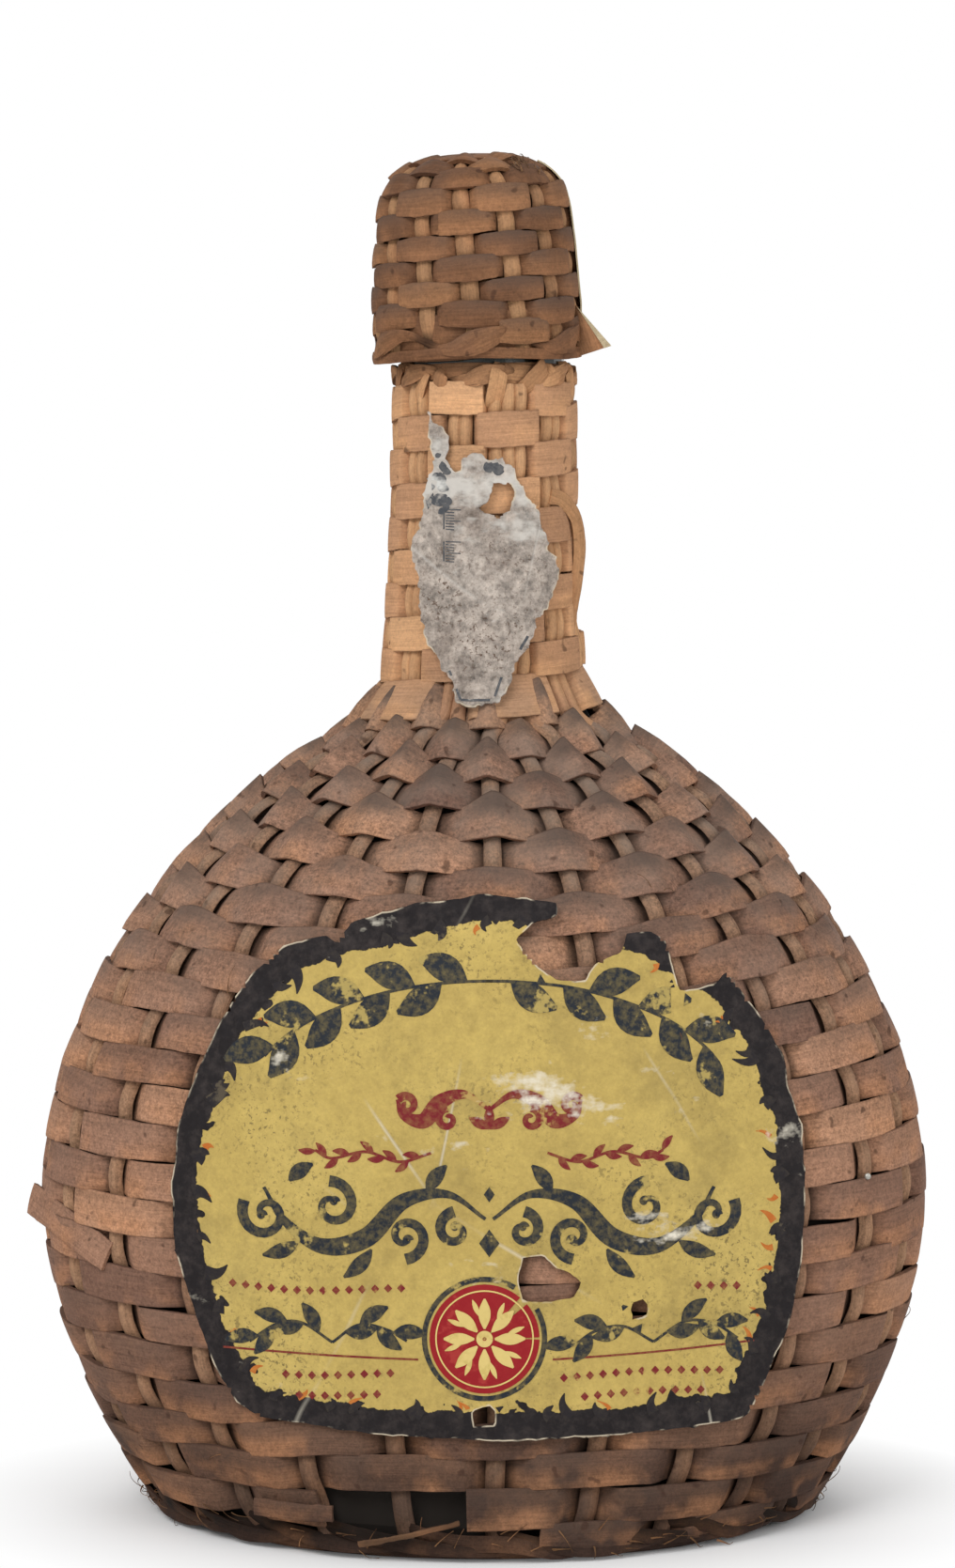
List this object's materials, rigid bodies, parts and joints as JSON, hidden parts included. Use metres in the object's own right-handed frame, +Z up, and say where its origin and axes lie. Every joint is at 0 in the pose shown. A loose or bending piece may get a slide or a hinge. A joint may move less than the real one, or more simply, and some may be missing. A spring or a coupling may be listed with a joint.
{
  "type": "wicker flask",
  "caption": "Flattened oval glass flask woven over with split willow, with a round neck, a cork and a woven cap that lifts off.",
  "frame": {"origin": "middle of the foot, on the surface that the flask stands on", "axes": "+Z up along the neck; -Y out of the labelled face; +X to the right seen from that side"},
  "size_m": [0.1451, 0.0962, 0.2235],
  "materials": {
    "willow": "aged split willow, brown, dusty matt",
    "pale_willow": "aged willow rod, tan, matt",
    "neck_willow": "split willow, light orange tan, matt",
    "cap_willow": "aged split willow, grey brown, matt",
    "glass": "green bottle glass, polished",
    "cork": "natural cork",
    "label_paper": "yellowed printed paper, torn and creased",
    "seal_paper": "grey torn paper"
  },
  "bodies": {
    "flask": {"glass_flask": "glass", "base_mat": "willow", "foot_border": "willow", "stake_01": "pale_willow", "stake_02": "pale_willow", "stake_03": "pale_willow", "stake_04": "pale_willow", "stake_05": "pale_willow", "stake_06": "pale_willow", "stake_07": "pale_willow", "stake_08": "pale_willow", "stake_09": "pale_willow", "stake_10": "pale_willow", "stake_11": "pale_willow", "stake_12": "pale_willow", "stake_13": "pale_willow", "stake_14": "pale_willow", "stake_15": "pale_willow", "stake_16": "pale_willow", "stake_17": "pale_willow", "stake_18": "pale_willow", "stake_19": "pale_willow", "stake_20": "pale_willow", "stake_21": "pale_willow", "stake_22": "pale_willow", "stake_23": "pale_willow", "stake_24": "pale_willow", "stake_25": "pale_willow", "body_splint_1": "willow", "body_splint_2": "willow", "body_splint_3": "willow", "body_splint_4": "willow", "body_splint_5": "willow", "body_splint_6": "willow", "neck_splint_1": "neck_willow", "neck_splint_2": "neck_willow", "neck_border": "neck_willow", "front_label": "label_paper", "neck_seal": "seal_paper"},
    "cap": {"cap_frame": "cap_willow", "cap_splint_1": "cap_willow", "cap_splint_2": "cap_willow", "cap_border": "cap_willow", "cap_paper_tab": "seal_paper"},
    "cork": {"cork": "cork"}
  },
  "joints": [
    {"name": "cap_lift", "type": "slide", "parent": "flask", "child": "cap", "axis": [0, 0, 1], "range_m": [0, 0.11]},
    {"name": "cork_pull", "type": "slide", "parent": "flask", "child": "cork", "axis": [0, 0, 1], "range_m": [0, 0.055]}
  ],
  "couplings": [
    {"joint": "cork_pull", "follows": "cap_lift", "ratio": 0.5}
  ]
}
